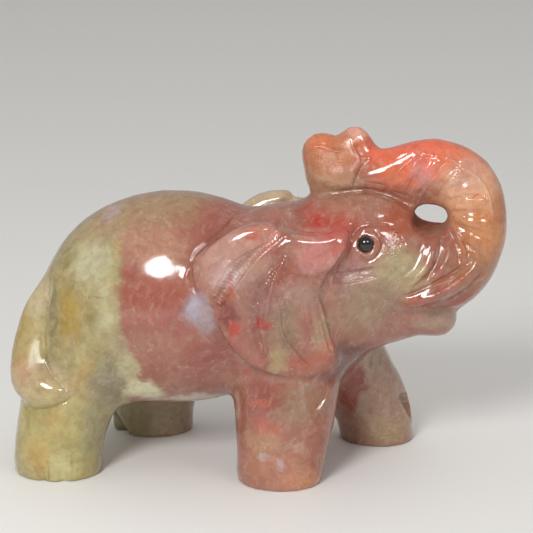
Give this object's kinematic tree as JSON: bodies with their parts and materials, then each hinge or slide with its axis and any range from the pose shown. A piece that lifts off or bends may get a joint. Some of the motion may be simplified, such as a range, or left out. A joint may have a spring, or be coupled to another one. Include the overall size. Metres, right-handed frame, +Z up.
{
  "type": "agate elephant figurine",
  "caption": "Carved and polished agate elephant in a striding pose, trunk raised and curled back over the crown, with inlaid black glass eyes.",
  "frame": {"origin": "on the ground under the middle of the figure", "axes": "+X towards the trunk, +Y towards the elephant's left side, +Z up"},
  "size_m": [0.0638, 0.0264, 0.0452],
  "materials": {
    "agate": "high polish, translucent, mottled olive, rose and orange red",
    "black_glass": "glossy"
  },
  "bodies": {
    "root": {"elephant": "agate", "eye_bead_right": "black_glass", "eye_bead_left": "black_glass"}
  },
  "joints": []
}
